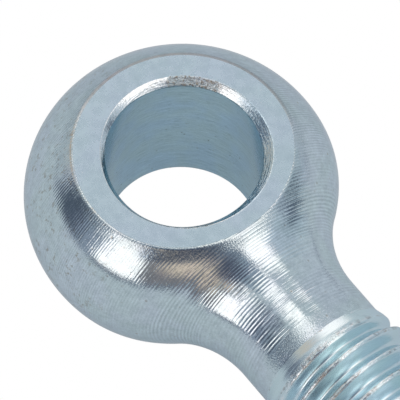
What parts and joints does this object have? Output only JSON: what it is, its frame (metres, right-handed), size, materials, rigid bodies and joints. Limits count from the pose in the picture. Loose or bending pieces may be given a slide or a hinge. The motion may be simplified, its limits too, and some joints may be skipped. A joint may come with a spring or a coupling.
{
  "type": "swing eye bolt",
  "caption": "Eye bolt with a pressed ball eye, flat cheeks and a chamfered pin bore on a round threaded shank, for a swinging clamp or lid.",
  "frame": {"origin": "centre of the eye's bore, half way between the two flat cheeks", "axes": "+Z along the bore, +X along the shank towards its threaded end"},
  "size_m": [0.0622, 0.0244, 0.014],
  "materials": {
    "zinc_plate": "bright zinc plate with a pale blue passivation over turned and pressed steel"
  },
  "bodies": {
    "root": {"eye_bolt": "zinc_plate"}
  },
  "joints": []
}
